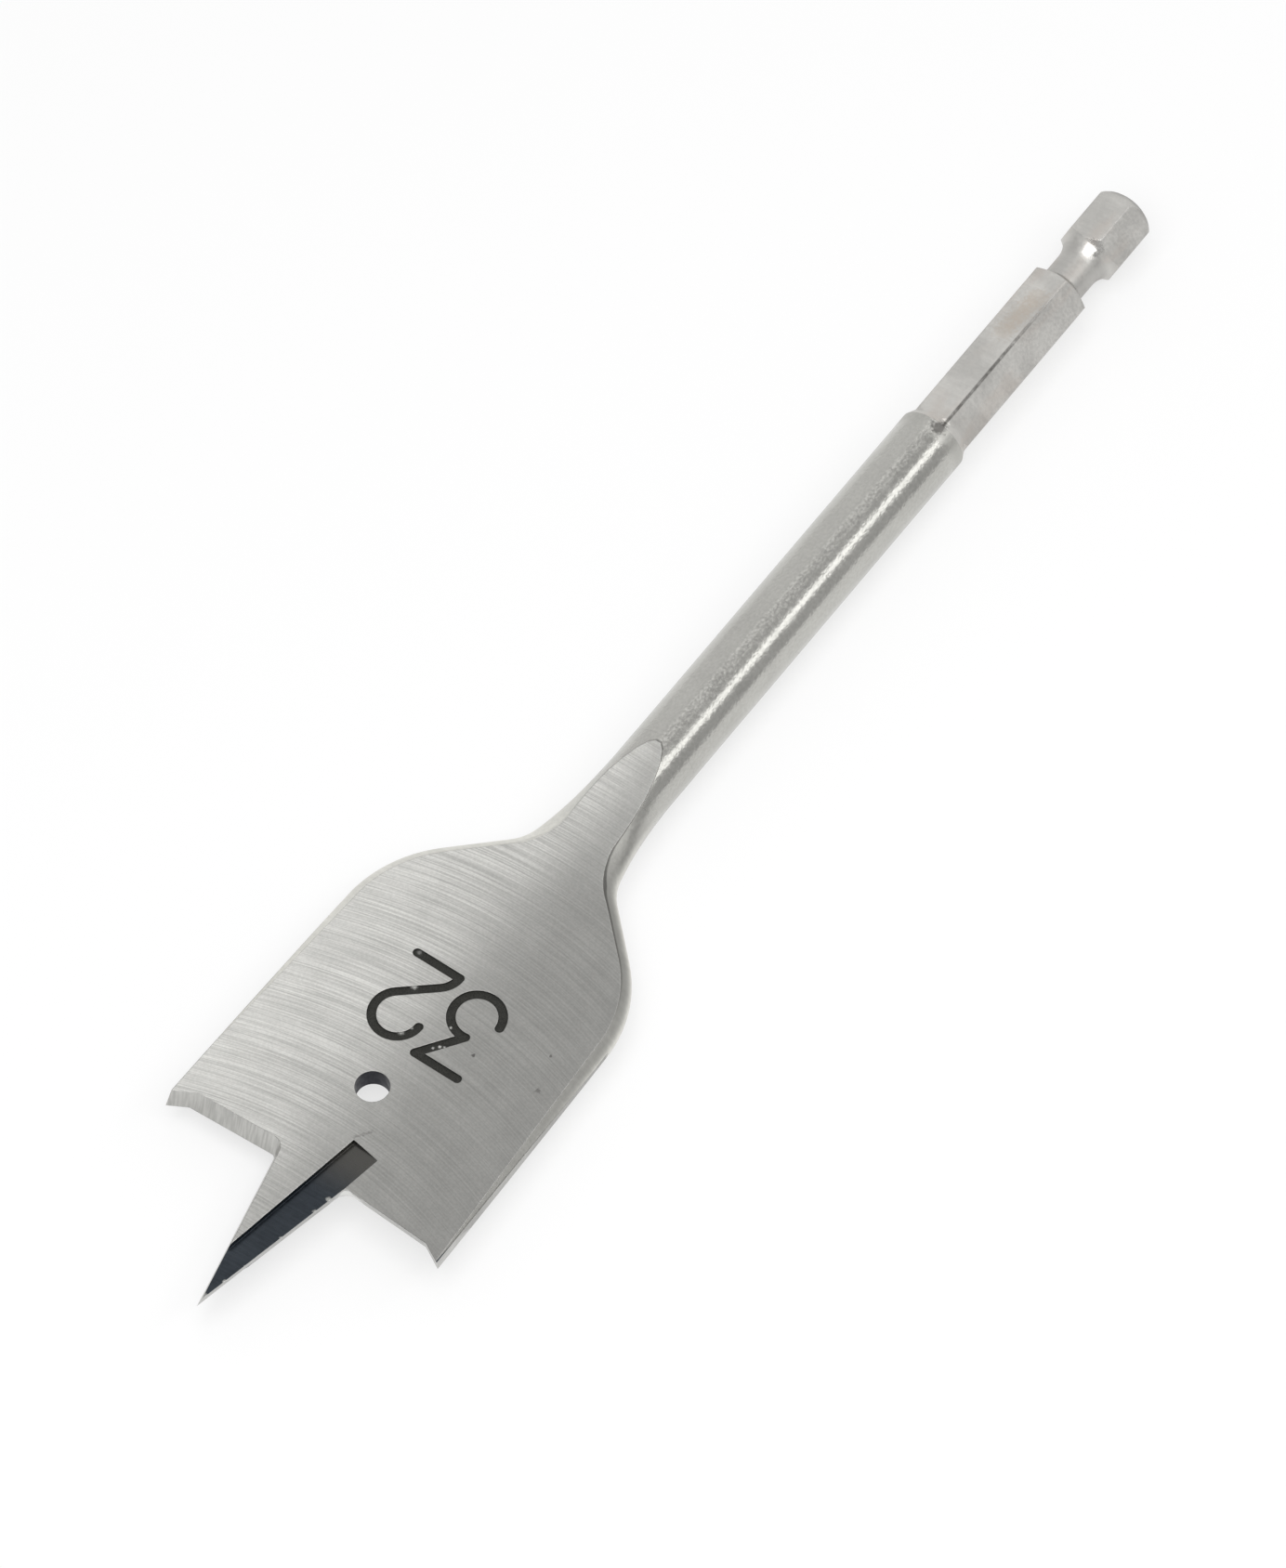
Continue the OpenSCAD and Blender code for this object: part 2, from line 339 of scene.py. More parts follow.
class EffectShop:
    """Writes the inside of each shared effect."""

    FINE_SHARE = 0.75
    FINE_DETAIL = 2.0
    BROAD_SCALE = 0.31
    BROAD_STRETCH = 0.5
    LINE_CONTRAST = (0.3, 0.7)
    EDGE_SAMPLES = 6
    EDGE_TURN = (0.01, 0.2)
    EDGE_BREAKS = Patches(scale=2.5, detail=3.0, low=0.3, high=0.62)
    EDGE_LEAST = 0.35
    CLOUD_DETAIL = 3.0
    GRIT_DETAIL = 2.0
    GRIT_FINENESS = 14.0
    SPECK_REACH = 0.09

    @classmethod
    def tool_lines(cls, sheet: NodeSheet, given: Sockets, wanted: Sockets) -> None:
        """Fine lines of a tool, which run along the second axis of the place.

        Args:
            sheet: The group's sheet.
            given: The group's inputs.
            wanted: The group's outputs.
        """
        across, along, depth = sheet.parts(given["Place"])
        thin = sheet.math("DIVIDE", across, given["Width"])
        long = sheet.math("DIVIDE", along, given["Length"])
        deep = sheet.math("DIVIDE", depth, given["Length"])
        fine = sheet.noise(sheet.vector(thin, long, deep), 1.0, cls.FINE_DETAIL)
        longer = sheet.math("MULTIPLY", long, cls.BROAD_STRETCH)
        broad = sheet.noise(sheet.vector(thin, longer, deep), cls.BROAD_SCALE, 1.0)
        both = sheet.math("MULTIPLY", fine, cls.FINE_SHARE)
        both = sheet.math("MULTIPLY_ADD", broad, 1 - cls.FINE_SHARE, both)
        sheet.feed(wanted["Lines"], sheet.span(both, *cls.LINE_CONTRAST))

    @classmethod
    def edge_wear_and_shade(cls, sheet: NodeSheet, given: Sockets, wanted: Sockets) -> None:
        """Softened edges: a rounded normal, and a mask that is broken up along the edge.

        Args:
            sheet: The group's sheet.
            given: The group's inputs.
            wanted: The group's outputs.
        """
        bevel = sheet.add("ShaderNodeBevel", {"Radius": given["Radius"]}, samples=cls.EDGE_SAMPLES)
        soft = bevel.outputs[0]
        true = sheet.add("ShaderNodeNewGeometry").outputs["Normal"]
        turned = sheet.math("SUBTRACT", 1.0, sheet.measure("DOT_PRODUCT", soft, true))
        broken = cls.EDGE_BREAKS.put(sheet, given["Place"], cls.EDGE_LEAST)
        sheet.feed(wanted["Mask"], sheet.math("MULTIPLY", sheet.span(turned, *cls.EDGE_TURN), broken))
        sheet.feed(wanted["Normal"], soft)

    @classmethod
    def mottle(cls, sheet: NodeSheet, given: Sockets, wanted: Sockets) -> None:
        """Slow clouds over the surface, and the grit of a tumbled or forged skin.

        Args:
            sheet: The group's sheet.
            given: The group's inputs.
            wanted: The group's outputs.
        """
        scale = sheet.math("DIVIDE", 1.0, given["Size"])
        fine = sheet.math("MULTIPLY", scale, cls.GRIT_FINENESS)
        sheet.feed(wanted["Cloud"], Patches(scale, cls.CLOUD_DETAIL).put(sheet, given["Place"]))
        sheet.feed(wanted["Grit"], Patches(fine, cls.GRIT_DETAIL).put(sheet, given["Place"]))

    @classmethod
    def specks(cls, sheet: NodeSheet, given: Sockets, wanted: Sockets) -> None:
        """Small stray specks, one in some of the cells of an uneven grid.

        Args:
            sheet: The group's sheet.
            given: The group's inputs.
            wanted: The group's outputs.
        """
        scale = sheet.math("DIVIDE", 1.0, given["Spacing"])
        cells = sheet.add("ShaderNodeTexVoronoi", {"Vector": given["Place"], "Scale": scale})
        chance = sheet.parts(cells.outputs["Color"])
        reach = sheet.math("MULTIPLY", chance[1], cls.SPECK_REACH)
        inside = sheet.math("LESS_THAN", cells.outputs["Distance"], reach)
        chosen = sheet.math("LESS_THAN", chance[0], given["Share"])
        sheet.feed(wanted["Mask"], sheet.math("MULTIPLY", inside, chosen))


# Finishes, with lengths in millimetres and places in the frame of the part


@dataclass(frozen=True)
class Mark:
    """A stray speck or stain, or a spot of painted shade: full inside its core, a share of the radius, with
    a ragged edge.
    """

    place: tuple
    radius: float
    colour: Colour
    strength: float = 0.8
    core: float = 0.4
    rag: float = 0.6

    def put(self, sheet: NodeSheet, place: Feed, grit: Feed, colour: Feed) -> Socket:
        """Lays the mark over a colour.

        Args:
            sheet: The material's sheet.
            place: The place on the piece in millimetres.
            grit: Noise from 0 to 1 that makes the mark's edge ragged.
            colour: The colour so far.

        Returns:
            The colour with the mark on it.
        """
        ragged = sheet.math("MULTIPLY_ADD", grit, self.rag, 1 - self.rag / 2)
        away = sheet.math("MULTIPLY", sheet.measure("DISTANCE", place, self.place), ragged)
        spot = sheet.span(away, self.core * self.radius, self.radius, self.strength, 0.0)
        return sheet.mix(spot, colour, self.colour)


def mark_row(start: tuple, end: tuple, count: int, radius: float, colour: Colour,
             strength: float = 0.22) -> tuple[Mark, ...]:
    """Lays a row of marks that run together, as a scratch or a long stain.

    Args:
        start: Where it begins.
        end: Where it ends.
        count: How many marks it takes.
        radius: Half its width.
        colour: Its colour.
        strength: How far each mark covers what is under it.

    Returns:
        The marks.
    """
    first = Vector(start)
    step = (Vector(end) - first) / (count - 1)
    return tuple(Mark(tuple(first + index * step), radius, colour, strength) for index in range(count))


@dataclass(frozen=True)
class Steel:
    """Bare steel: the part that every steel finish shares."""

    name: str
    colour: Colour
    roughness: float
    line_width: float
    line_length: float
    line_depth: float
    line_tone: float
    grit_depth: float = 0.5
    rough_spread: float = 0.12
    cloud_size: float = 9.0
    cloud_tone: float = 0.08
    grit_tone: float = 0.03
    edge_radius: float = 0.16
    # Light edge colours are worn edges; dark ones, on the forged skin and the faces, are painted shade
    # along edges and creases.
    edge_colour: Colour = (0.78, 0.775, 0.75, 1.0)
    edge_gain: float = 0.6
    anisotropy: float = 0.0
    marks: tuple = ()

    def line_place(self, sheet: NodeSheet, place: Feed) -> Feed:
        """Returns a place whose first axis runs across the lines; on plain steel they cross the bit."""
        return place

    def line_strength(self, sheet: NodeSheet, place: Feed) -> Feed:
        """Returns how far the tool lines lighten and darken the steel."""
        return self.line_tone

    def tint(self, sheet: NodeSheet, place: Feed, colour: Feed) -> Feed:
        """Adds the finish's own tones; plain steel has none."""
        return colour

    def tangent(self, sheet: NodeSheet, place: Feed) -> Optional[Feed]:
        """Returns the way that highlights stretch, or nothing where they are round."""
        return None

    def dullness(self, sheet: NodeSheet, place: Feed) -> Feed:
        """Returns how rough the steel is before its grit; plain steel is alike all over."""
        return self.roughness

    def gain(self, sheet: NodeSheet, place: Feed, lines: Feed, mottle: Sockets) -> Socket:
        """Joins the tones of the lines, the clouds and the grit.

        Args:
            sheet: The material's sheet.
            place: The place on the piece in millimetres.
            lines: The tool lines, from 0 to 1.
            mottle: The outputs of the mottle.

        Returns:
            What the steel's colour is multiplied by.
        """
        swing = sheet.math("MULTIPLY_ADD", lines, 2.0, -1.0)
        line_gain = sheet.math("MULTIPLY_ADD", swing, self.line_strength(sheet, place), 1.0)
        cloud_gain = sheet.span(mottle["Cloud"], 0, 1, 1 - self.cloud_tone, 1 + self.cloud_tone)
        grit_gain = sheet.span(mottle["Grit"], 0, 1, 1 - self.grit_tone, 1 + self.grit_tone)
        return sheet.math("MULTIPLY", sheet.math("MULTIPLY", line_gain, cloud_gain), grit_gain)

    def material(self) -> bpy.types.Material:
        """Writes the material.

        Returns:
            The finished material.
        """
        material, sheet = new_material(self.name, self.colour)
        place = sheet.place_mm()
        lines = Effect.TOOL_LINES.put(sheet, Place=self.line_place(sheet, place), Width=self.line_width,
                                      Length=self.line_length)["Lines"]
        mottle = Effect.MOTTLE.put(sheet, Place=place, Size=self.cloud_size)
        edge = Effect.EDGE_WEAR.put(sheet, Place=place, Radius=self.edge_radius * MM)
        grit = mottle["Grit"]
        colour = self.tint(sheet, place, sheet.tone(self.colour, self.gain(sheet, place, lines, mottle)))
        # The edge mask lays worn light edges, and on the forged skin and faces painted shade along edges
        # and creases.
        colour = sheet.mix(sheet.math("MULTIPLY", edge["Mask"], self.edge_gain), colour, self.edge_colour)
        for mark in self.marks:
            colour = mark.put(sheet, place, grit, colour)
        half = self.rough_spread / 2
        rough = sheet.math("ADD", self.dullness(sheet, place), sheet.span(grit, 0, 1, -half, half))
        height = sheet.math("MULTIPLY_ADD", grit, self.grit_depth, lines)
        feeds = {
            "Base Color": colour,
            "Metallic": 1.0,
            "Roughness": rough,
            "Normal": sheet.bump(height, self.line_depth * MM, edge["Normal"]),
            "Anisotropic": self.anisotropy,
        }
        stretch = self.tangent(sheet, place)
        if stretch is not None:
            feeds["Tangent"] = stretch
        sheet.surface(feeds)
        return material


@dataclass(frozen=True)
class BrushedFace(Steel):
    """The blade's two ground faces, with the belt's lines in shallow arcs across them."""

    arc_radius: float = 45.0
    quiet_line_tone: float = 0.1
    # The halves' gains are partly the grind and partly painted light; the neck and tongue gains are painted
    # light.
    quiet_half_gain_and_shade: float = 0.92
    bright_half_gain_and_light: float = 1.06
    half_from: float = -5.0
    half_to: float = 6.0
    half_waver: float = 5.0
    waver_scale: float = 0.3
    waver_detail: float = 3.0
    neck_narrowing: float = 2.4
    neck_painted_light_quiet: float = 0.03
    neck_painted_light_bright: float = 0.12
    neck_from: float = -101.0
    neck_to: float = -92.0
    tongue_painted_light: float = 0.16
    tongue_to: float = -80.5

    def line_place(self, sheet: NodeSheet, place: Feed) -> Feed:
        """Bends the lines into arcs that bulge towards the shank.

        Args:
            sheet: The material's sheet.
            place: The place on the piece in millimetres.

        Returns:
            A place whose first axis runs across the lines.
        """
        x, y, z = sheet.parts(place)
        bow = sheet.math("DIVIDE", sheet.math("MULTIPLY", y, y), 2 * self.arc_radius)
        return sheet.vector(sheet.math("ADD", x, bow), y, z)

    def along_neck(self, sheet: NodeSheet, place: Feed, blade: float, neck: float) -> Socket:
        """Eases a value from the blade to the neck."""
        return sheet.span(sheet.parts(place)[0], self.neck_from, self.neck_to, blade, neck)

    def half(self, sheet: NodeSheet, place: Feed, quiet: float, bright: float) -> Socket:
        """Eases a value from the quiet half of a face to the bright half, which the belt cut last; the
        bright half's extra tone is partly painted light.

        The underside's halves lie the other way round.

        Args:
            sheet: The material's sheet.
            place: The place on the piece in millimetres.
            quiet: The value on the quiet half.
            bright: The value on the other half.

        Returns:
            The eased value's socket.
        """
        _, y, z = sheet.parts(place)
        across = sheet.math("MULTIPLY", y, sheet.math("SIGN", z))
        across = sheet.math("MULTIPLY", across, self.along_neck(sheet, place, 1.0, self.neck_narrowing))
        waver = sheet.math("SUBTRACT", sheet.noise(place, self.waver_scale, self.waver_detail), 0.5)
        across = sheet.math("MULTIPLY_ADD", waver, self.half_waver, across)
        return sheet.span(across, self.half_from, self.half_to, quiet, bright)

    def line_strength(self, sheet: NodeSheet, place: Feed) -> Feed:
        """Returns how far the lines show, which is less on the quiet half."""
        return self.half(sheet, place, self.quiet_line_tone, self.line_tone)

    def tangent(self, sheet: NodeSheet, place: Feed) -> Optional[Feed]:
        """Turns the stretch of the highlights across the arcs.

        Args:
            sheet: The material's sheet.
            place: The place on the piece in millimetres.

        Returns:
            The way that they stretch.
        """
        slope = sheet.math("DIVIDE", sheet.parts(place)[1], self.arc_radius)
        way = sheet.vector(1.0, slope, 0.0)
        turn = sheet.add("ShaderNodeVectorTransform", {0: way}, vector_type="VECTOR",
                         convert_from="OBJECT", convert_to="WORLD")
        return turn.outputs[0]

    def tint(self, sheet: NodeSheet, place: Feed, colour: Feed) -> Feed:
        """Sets the tone of the two halves, of the neck and of the tongue that runs up the shank; the bright
        half's extra tone is partly painted light, and the lighter neck and tongue are painted light.

        Args:
            sheet: The material's sheet.
            place: The place on the piece in millimetres.
            colour: The steel's colour so far.

        Returns:
            The toned colour.
        """
        # Painted light on the neck and tongue, and partly on the bright half.
        neck = self.half(sheet, place, self.neck_painted_light_quiet, self.neck_painted_light_bright)
        neck = sheet.math("MULTIPLY", neck, self.along_neck(sheet, place, 0.0, 1.0))
        tongue = sheet.span(sheet.parts(place)[0], self.neck_to, self.tongue_to, 0.0, self.tongue_painted_light)
        gain = sheet.math("ADD", self.half(sheet, place, self.quiet_half_gain_and_shade, self.bright_half_gain_and_light), neck)
        return sheet.tone(colour, sheet.math("ADD", gain, tongue))


@dataclass(frozen=True)
class GroundLip(Steel):
    """The bevels of the lips, spurs and point, with short lines across the bevel."""

    def line_place(self, sheet: NodeSheet, place: Feed) -> Feed:
        """Turns the lines to run from one face of the blade to the other."""
        x, y, z = sheet.parts(place)
        return sheet.vector(y, z, x)


@dataclass(frozen=True)
class ForgedSkin(Steel):
    """The forged skin: matt round the blade's edge, and smoother along the shank with one pitted strip that
    is also lightened as painted light.
    """

    edge_roughness: float = 0.6
    # Painted shade on the inner flank and painted light on the outer flank of the forged edge.
    shade_tone: float = 0.6
    light_tone: float = 1.5
    shade_until: float = -1.1
    light_from: float = -0.2
    ramp_from: float = -94.05
    ramp_slope: float = math.tan(math.radians(9.3))
    # Painted shade along the crease below the ground faces.
    crease_shade: Colour = (0.09, 0.088, 0.082, 1.0)
    crease_shade_depth: float = 0.11
    crease_shade_thin: float = 0.05
    crease_shade_core: float = 0.3
    crease_shade_strength: float = 0.8
    crease_shade_from: float = -108.0
    crease_shade_full: float = -96.0
    crease_shade_near: float = -1.0
    crease_shade_far: float = 1.5
    crease_shade_least: float = 0.15
    dull_until: float = -94.0
    smooth_from: float = -82.0
    smooth_until: float = -36.5
    end_from: float = -34.0
    end_roughness: float = 0.45
    shank_radius: float = 3.6
    strip_turn: float = math.radians(97)
    strip_inner: float = math.radians(6)
    strip_outer: float = math.radians(11)
    strip_tone: float = 0.2
    strip_painted_light: float = 1.13

    def line_place(self, sheet: NodeSheet, place: Feed) -> Feed:
        """Lays the skin's grain along the shank."""
        x, y, z = sheet.parts(place)
        return sheet.vector(sheet.math("MULTIPLY", sheet.math("ARCTAN2", y, z), self.shank_radius), x, 0.0)

    def strip(self, sheet: NodeSheet, place: Feed, skin: float, pitted: float) -> Socket:
        """Eases a value from the plain skin to the pitted strip along the shank.

        Args:
            sheet: The material's sheet.
            place: The place on the piece in millimetres.
            skin: The value on the plain skin.
            pitted: The value on the strip.

        Returns:
            The eased value's socket.
        """
        _, y, z = sheet.parts(place)
        away = sheet.math("SUBTRACT", sheet.math("ARCTAN2", z, y), self.strip_turn)
        return sheet.span(sheet.math("ABSOLUTE", away), self.strip_inner, self.strip_outer, pitted, skin)

    def line_strength(self, sheet: NodeSheet, place: Feed) -> Feed:
        """Returns how far the grain shows, which is most along the pitted strip."""
        return self.strip(sheet, place, self.line_tone, self.strip_tone)

    def dullness(self, sheet: NodeSheet, place: Feed) -> Feed:
        """Smooths the skin along the neck and dulls it again by the hexagon.

        Args:
            sheet: The material's sheet.
            place: The place on the piece in millimetres.

        Returns:
            How rough the skin is before its grit.
        """
        x = sheet.parts(place)[0]
        neck = sheet.span(x, self.dull_until, self.smooth_from, self.edge_roughness, self.roughness)
        end = sheet.span(x, self.smooth_until, self.end_from, 0.0, self.end_roughness)
        return sheet.math("MAXIMUM", neck, end)

    def tint(self, sheet: NodeSheet, place: Feed, colour: Feed) -> Feed:
        """Paints shade and light on the two flanks of the forged edge, paints light on the strip and draws
        the painted shade line along the crease.

        Args:
            sheet: The material's sheet.
            place: The place on the piece in millimetres.
            colour: The steel's colour so far.

        Returns:
            The toned colour.
        """
        x, y, z = sheet.parts(place)
        # Painted shade and light on the flanks, towards the blade.
        flank = sheet.math("MULTIPLY", sheet.math("SIGN", y), z)
        flank_painted_light = sheet.span(flank, self.shade_until, self.light_from, self.shade_tone, self.light_tone)
        swing = sheet.math("SUBTRACT", flank_painted_light, 1.0)
        share = sheet.span(x, self.dull_until, self.smooth_from, 1.0, 0.0)
        colour = sheet.tone(colour, sheet.math("MULTIPLY_ADD", swing, share, 1.0))
        # Painted light on the pitted strip.
        colour = sheet.tone(colour, self.strip(sheet, place, 1.0, self.strip_painted_light))
        # Painted shade line along the crease.
        return sheet.mix(self.crease_shade_line(sheet, place), colour, self.crease_shade)

    def crease_shade_line(self, sheet: NodeSheet, place: Feed) -> Socket:
        """Draws a painted shade line along the crease just below the two ground faces, fainter on one side.

        Args:
            sheet: The material's sheet.
            place: The place on the piece in millimetres.

        Returns:
            How much of the line shows.
        """
        x, y, z = sheet.parts(place)
        along = sheet.math("MAXIMUM", sheet.math("SUBTRACT", x, self.ramp_from), 0.0)
        ground = sheet.math("MULTIPLY_ADD", along, self.ramp_slope, HALF_BLADE)
        below = sheet.math("SUBTRACT", ground, sheet.math("ABSOLUTE", z))
        depth = sheet.span(x, self.ramp_from, self.smooth_from, self.crease_shade_depth, self.crease_shade_thin)
        share = sheet.math("DIVIDE", below, depth)
        line = sheet.span(share, self.crease_shade_core, 1.0, self.crease_shade_strength, 0.0)
        line = sheet.math("MULTIPLY", line, sheet.span(x, self.crease_shade_from, self.crease_shade_full))
        across = sheet.math("MULTIPLY", y, sheet.math("SIGN", z))
        side = sheet.span(across, self.crease_shade_near, self.crease_shade_far, 1.0, self.crease_shade_least)
        return sheet.math("MULTIPLY", line, side)


@dataclass(frozen=True)
class WarmShank(Steel):
    """The hexagon's skin, a little warmer than the round shank, with a painted dark reflection along two
    corners.
    """

    stain: Colour = (0.60, 0.52, 0.46, 1.0)
    stain_share: float = 0.3
    stain_patches: Patches = Patches(scale=0.45, detail=4.0, low=0.45, high=0.7)
    streak_stretch: float = 0.35
    corner_turn: float = math.radians(110)
    corner_radius: float = 3.58
    # Painted dark reflection along two corners: its colour, width, fade and breaks.
    fold_reflection: Colour = (0.07, 0.066, 0.06, 1.0)
    fold_reflection_core: float = 0.072
    fold_reflection_half_width: float = 0.24
    fold_reflection_strength: float = 0.8
    fold_reflection_until: float = -24.0
    fold_reflection_gone: float = -13.0
    fold_reflection_breaks: Patches = Patches(scale=0.9, detail=3.0, low=0.3, high=0.6)
    fold_reflection_least: float = 0.45
    groove_floor: float = 2.3
    groove_rim: float = 3.0
    groove_tone: float = 0.8
    end_shade_from: float = -1.1
    end_shade_to: float = -0.3
    end_tone: float = 0.6
    polish_place: tuple = (-7.6, -1.0, 3.0)
    polish_core: float = 0.68
    polish_radius: float = 1.7
    polish_roughness: float = 0.16

    def dullness(self, sheet: NodeSheet, place: Feed) -> Feed:
        """Returns how rough the skin is, which is least where a chuck's ball has rubbed the groove."""
        away = sheet.measure("DISTANCE", place, self.polish_place)
        return sheet.span(away, self.polish_core, self.polish_radius, self.polish_roughness, self.roughness)

    def fold_reflection_line(self, sheet: NodeSheet, place: Feed) -> Socket:
        """Draws a painted dark reflection along two opposite corners of the hexagon.

        Args:
            sheet: The material's sheet.
            place: The place on the piece in millimetres.

        Returns:
            How much of the grime shows.
        """
        x, y, z = sheet.parts(place)
        turn = sheet.math("SUBTRACT", sheet.math("ARCTAN2", z, y), self.corner_turn)
        away = sheet.math("MULTIPLY", sheet.math("PINGPONG", turn, math.pi / 2), self.corner_radius)
        line = sheet.span(away, self.fold_reflection_core, self.fold_reflection_half_width, 1.0, 0.0)
        faded = sheet.span(x, self.fold_reflection_until, self.fold_reflection_gone, self.fold_reflection_strength, 0.0)
        broken = self.fold_reflection_breaks.put(sheet, place, self.fold_reflection_least)
        return sheet.math("MULTIPLY", sheet.math("MULTIPLY", line, faded), broken)

    def tint(self, sheet: NodeSheet, place: Feed, colour: Feed) -> Feed:
        """Adds faint stains in streaks, a painted dark reflection on the corners, and painted shade in the
        groove and at the end.

        Args:
            sheet: The material's sheet.
            place: The place on the piece in millimetres.
            colour: The steel's colour so far.

        Returns:
            The stained colour.
        """
        x, y, z = sheet.parts(place)
        streaks = sheet.vector(sheet.math("MULTIPLY", x, self.streak_stretch), y, z)
        stained = self.stain_patches.put(sheet, streaks, 0.0, self.stain_share)
        colour = sheet.mix(stained, colour, self.stain)
        from_axis = sheet.measure("DISTANCE", sheet.vector(0.0, y, z), (0.0, 0.0, 0.0))
        groove = sheet.span(from_axis, self.groove_floor, self.groove_rim, self.groove_tone, 1.0)
        end = sheet.span(x, self.end_shade_from, self.end_shade_to, 1.0, self.end_tone)
        colour = sheet.tone(colour, sheet.math("MULTIPLY", groove, end))
        # Lays the painted dark reflection on the corners.
        return sheet.mix(self.fold_reflection_line(sheet, place), colour, self.fold_reflection)


@dataclass(frozen=True)
class DarkSteel(Steel):
    """The rake hollow's near-black blue steel, with painted light that greys its inner end."""

    inner_end_painted_light: Colour = (0.095, 0.093, 0.087, 1.0)
    inner_from: float = -137.5
    inner_to: float = -132.0

    def tint(self, sheet: NodeSheet, place: Feed, colour: Feed) -> Feed:
        """Paints light on the hollow's inner end, where its floor curves up."""
        end = sheet.span(sheet.parts(place)[0], self.inner_from, self.inner_to)
        return sheet.mix(end, colour, self.inner_end_painted_light)


@dataclass(frozen=True)
class NumberInk:
    """The dull black of the stamped number, with worn flecks of steel and painted shade on its walls."""

    name: str
    colour: Colour
    wall_shade_colour: Colour
    fleck: Colour
    roughness: float
    rough_spread: float = 0.2
    cloud_size: float = 1.2
    grit_depth: float = 0.02
    grit_dark: float = 0.6
    grit_light: float = 1.5
    fleck_spacing: float = 0.8
    fleck_share: float = 0.16
    wall_until: float = 0.5
    floor_from: float = 0.95
    gloss: float = 0.2
    marks: tuple = ()

    def material(self) -> bpy.types.Material:
        """Writes the material.

        Returns:
            The finished material.
        """
        material, sheet = new_material(self.name, self.colour)
        place = sheet.place_mm()
        mottle = Effect.MOTTLE.put(sheet, Place=place, Size=self.cloud_size)
        specks = Effect.SPECKS.put(sheet, Place=place, Spacing=self.fleck_spacing, Share=self.fleck_share)
        flecks = specks["Mask"]
        grit = mottle["Grit"]
        # The stroke walls get painted shade, darker than the floors.
        facing = sheet.parts(sheet.add("ShaderNodeNewGeometry").outputs["Normal"])[2]
        floor = sheet.span(facing, self.wall_until, self.floor_from)
        colour = sheet.mix(floor, self.wall_shade_colour, self.colour)
        colour = sheet.tone(colour, sheet.span(grit, 0, 1, self.grit_dark, self.grit_light))
        colour = sheet.mix(flecks, colour, self.fleck)
        for mark in self.marks:
            colour = mark.put(sheet, place, grit, colour)
        half = self.rough_spread / 2
        sheet.surface({
            "Base Color": colour,
            "Metallic": flecks,
            "Roughness": sheet.span(mottle["Cloud"], 0, 1, self.roughness - half, self.roughness + half),
            "Normal": sheet.bump(grit, self.grit_depth * MM),
            "Specular IOR Level": self.gloss,
        })
        return material


# Dark specks, and painted shade in corners and pockets.
DARK_SPECK_AND_SHADE = (0.10, 0.095, 0.09, 1.0)
LIGHT_SPECK = (0.9, 0.9, 0.88, 1.0)
BROWN_STAIN = (0.57, 0.47, 0.37, 1.0)
WORN_STEEL = (0.5, 0.5, 0.48, 1.0)
FACE_MARKS = (
    Mark((-116.68, -5.4, HALF_BLADE), 0.22, DARK_SPECK_AND_SHADE),
    Mark((-111.12, -15.3, HALF_BLADE), 0.2, LIGHT_SPECK),
    Mark((-113.47, -15.1, HALF_BLADE), 0.3, DARK_SPECK_AND_SHADE, 0.6),
    Mark((-116.28, -12.7, HALF_BLADE), 0.35, DARK_SPECK_AND_SHADE, 0.45),
    Mark((-112.51, -11.45, HALF_BLADE), 0.2, DARK_SPECK_AND_SHADE, 0.6),
    # Painted shade in the corner where the point meets the face.
    Mark((-135.73, -4.8, HALF_BLADE), 0.3, DARK_SPECK_AND_SHADE, 0.7),
) + mark_row((-130.4, -1.6, HALF_BLADE), (-129.0, -2.6, HALF_BLADE), 9, 0.24, DARK_SPECK_AND_SHADE)
# Painted shade in the pocket where the round shank meets the hexagon.
POCKET_SHADE = Mark((-33.9, -1.0, 3.45), 1.0, DARK_SPECK_AND_SHADE, 0.75)
HEX_MARKS = (
    POCKET_SHADE,
    # Dark spots beside the polished glint in the groove: painted dark reflection.
    Mark((-7.75, -2.35, 2.75), 0.75, DARK_SPECK_AND_SHADE, 0.75),
    Mark((-8.3, -0.35, 2.95), 0.45, DARK_SPECK_AND_SHADE, 0.5),
    Mark((-7.4, -1.05, 3.0), 0.3, DARK_SPECK_AND_SHADE, 0.6),
) + mark_row((-20.6, 0.5, 3.08), (-15.6, 0.1, 3.12), 5, 1.5, BROWN_STAIN)
CHIPS = (
    Mark((-137.3, -3.65, 1.0), 0.42, WORN_STEEL, 0.8),
    Mark((-139.1, -3.4, 1.0), 0.3, WORN_STEEL, 0.7),
    Mark((-143.2, -2.5, 1.0), 0.25, WORN_STEEL, 0.6),
    Mark((-147.7, -1.6, 1.0), 0.3, WORN_STEEL, 0.7),
    Mark((-150.1, -1.0, 1.0), 0.3, WORN_STEEL, 0.7),
    Mark((-152.6, -0.3, 0.9), 0.7, WORN_STEEL, 0.6),
)
BURRS = (
    Mark((-113.7, 3.75, 1.1), 0.4, WORN_STEEL, 0.8),
    Mark((-118.5, 1.8, 1.1), 0.4, WORN_STEEL, 0.8),
    Mark((-117.6, 1.2, 1.1), 0.2, WORN_STEEL, 0.6),
    Mark((-117.7, -2.2, 1.1), 0.2, WORN_STEEL, 0.9),
    Mark((-117.5, -2.6, 1.1), 0.16, WORN_STEEL, 0.8),
    Mark((-118.2, -1.75, 1.1), 0.18, WORN_STEEL, 0.7),
    Mark((-115.4, -1.8, 1.1), 0.18, WORN_STEEL, 0.8),
    Mark((-110.4, 5.6, 1.1), 0.3, WORN_STEEL, 0.25),
)
